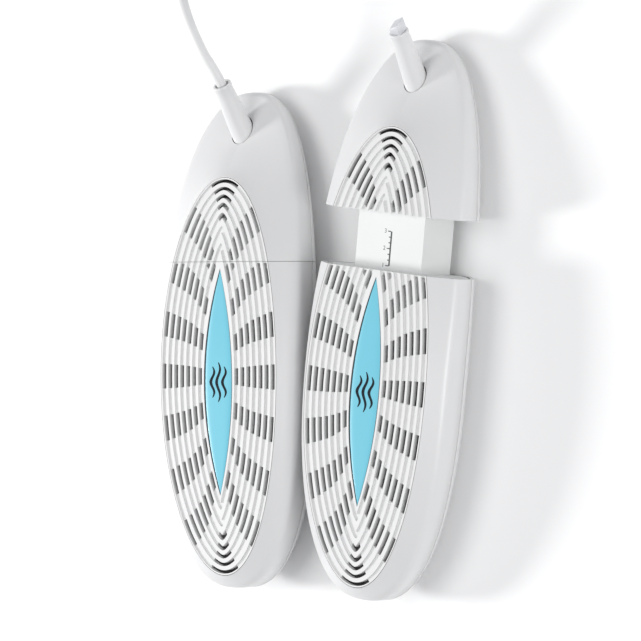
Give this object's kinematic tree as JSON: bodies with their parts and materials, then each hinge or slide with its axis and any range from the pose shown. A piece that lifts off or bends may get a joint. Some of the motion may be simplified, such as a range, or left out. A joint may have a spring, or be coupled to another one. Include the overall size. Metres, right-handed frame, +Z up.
{
  "type": "boot dryer",
  "caption": "Pair of telescoping electric boot dryers with slotted faces and blue leaf inlays, one closed and one drawn out, with a mains lead.",
  "frame": {"origin": "on the surface the dryers lie on, under the middle of the box of the two dryers, the lead and plug left out", "axes": "+Z up from the surface, +Y from the toe ends to the heel ends along the left dryer, +X from the left dryer to the right one"},
  "size_m": [0.1376, 0.2869, 0.0341],
  "materials": {
    "shell_white": "satin moulded ABS",
    "grille_white": "satin moulded ABS, finely grooved",
    "leaf_blue": "smooth sky-blue plastic inlay with a printed heat mark",
    "tube_white": "soft white strain-relief moulding",
    "sleeve_white": "plain moulded sleeve with a printed length scale",
    "inner_plastic": "plain moulded",
    "dark_plastic": "heat-resistant moulding",
    "wire_rubber": "silicone insulation",
    "screw_steel": "zinc plated",
    "fin_aluminium": "mill finish",
    "stone_ceramic": "dark sintered ceramic",
    "fuse_metal": "drawn can",
    "clear_tip": "translucent",
    "lead_white": "white PVC jacket",
    "tie_grey": "soft tie strip",
    "plug_white": "moulded PVC",
    "blade_metal": "nickel plated brass"
  },
  "bodies": {
    "left_heel_section": {"left_heel_top_shell": "shell_white", "left_heel_bottom_shell": "shell_white", "left_heel_grille": "grille_white", "left_heel_guide": "sleeve_white", "left_stem_tube": "tube_white", "left_cord_clamp": "inner_plastic", "left_heel_leads": "wire_rubber", "left_heel_screws": "screw_steel", "mains_lead": "lead_white", "lead_coil": "lead_white", "lead_tail": "lead_white", "coil_tie": "tie_grey", "plug_body": "plug_white", "plug_blades": "blade_metal"},
    "left_toe_section": {"left_toe_top_shell": "shell_white", "left_toe_bottom_shell": "shell_white", "left_toe_grille": "grille_white", "left_toe_collar": "sleeve_white", "left_leaf_inlay": "leaf_blue", "left_slide_sleeve": "sleeve_white", "left_heater_bracket": "dark_plastic", "left_heat_fins": "fin_aluminium", "left_ptc_stones": "stone_ceramic", "left_electrode_plates": "fin_aluminium", "left_thermal_fuse": "fuse_metal", "left_toe_leads": "wire_rubber", "left_toe_screws": "screw_steel"},
    "right_heel_section": {"right_heel_top_shell": "shell_white", "right_heel_bottom_shell": "shell_white", "right_heel_grille": "grille_white", "right_heel_guide": "sleeve_white", "right_stem_tube": "tube_white", "right_cord_clamp": "inner_plastic", "right_heel_leads": "wire_rubber", "right_heel_screws": "screw_steel", "right_connector_tip": "clear_tip"},
    "right_toe_section": {"right_toe_top_shell": "shell_white", "right_toe_bottom_shell": "shell_white", "right_toe_grille": "grille_white", "right_toe_collar": "sleeve_white", "right_leaf_inlay": "leaf_blue", "right_slide_sleeve": "sleeve_white", "right_heater_bracket": "dark_plastic", "right_heat_fins": "fin_aluminium", "right_ptc_stones": "stone_ceramic", "right_electrode_plates": "fin_aluminium", "right_thermal_fuse": "fuse_metal", "right_toe_leads": "wire_rubber", "right_toe_screws": "screw_steel"}
  },
  "joints": [
    {"name": "left_extension", "type": "slide", "parent": "left_heel_section", "child": "left_toe_section", "axis": [0, -1, 0], "range_m": [0, 0.02]},
    {"name": "right_dryer_apart", "type": "slide", "parent": "left_heel_section", "child": "right_heel_section", "axis": [1, 0, 0], "range_m": [0, 0.08]},
    {"name": "right_extension", "type": "slide", "parent": "right_heel_section", "child": "right_toe_section", "axis": [-0.1097, -0.994, 0], "range_m": [-0.02, 0]}
  ]
}
